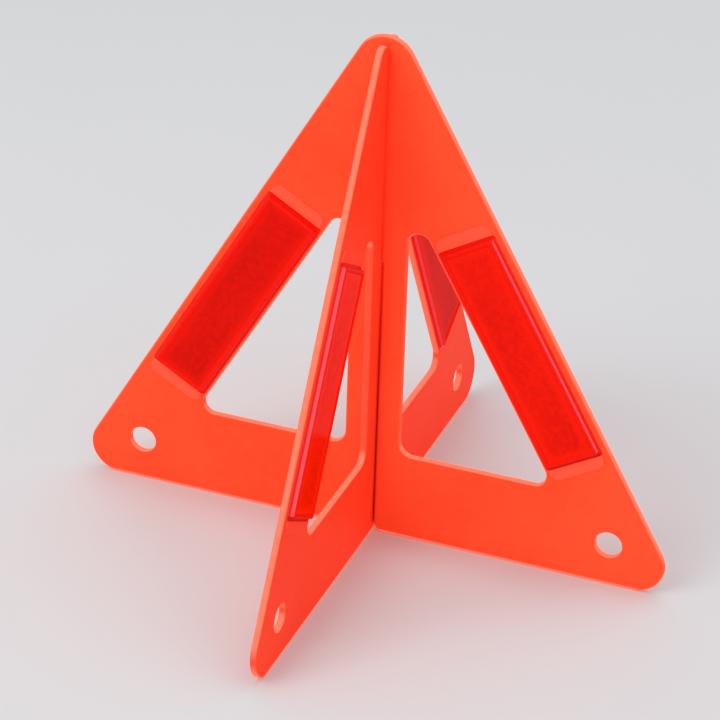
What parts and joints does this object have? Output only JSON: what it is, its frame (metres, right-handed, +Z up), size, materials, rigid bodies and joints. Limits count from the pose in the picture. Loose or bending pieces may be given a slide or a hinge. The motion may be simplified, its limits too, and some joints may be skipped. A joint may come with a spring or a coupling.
{
  "type": "warning triangle",
  "caption": "Free-standing warning triangle of crossed slotted plastic panels with windows, corner eyes and red reflector lenses.",
  "frame": {"origin": "where the two panels cross, on the ground, at the centre of the part's base", "axes": "+Z up; the upper panel spans X with its lenses facing -Y; the lower panel spans Y with its lenses facing +X"},
  "size_m": [0.2626, 0.2626, 0.2309],
  "materials": {
    "panel": "semi-gloss fluorescent red-orange moulded plastic",
    "lens": "clear red prismatic reflector plastic",
    "lens_back": "plain matt plastic, hidden behind the lens"
  },
  "bodies": {
    "lower": {"lower_panel": "panel", "lower_front_lens": "lens", "lower_front_lens_back": "lens_back", "lower_rear_lens": "lens", "lower_rear_lens_back": "lens_back"},
    "upper": {"upper_panel": "panel", "upper_left_lens": "lens", "upper_left_lens_back": "lens_back", "upper_right_lens": "lens", "upper_right_lens_back": "lens_back"}
  },
  "joints": [
    {"name": "panel_lift", "type": "slide", "parent": "lower", "child": "upper", "axis": [0, 0, 1], "range_m": [0, 0.105]}
  ]
}
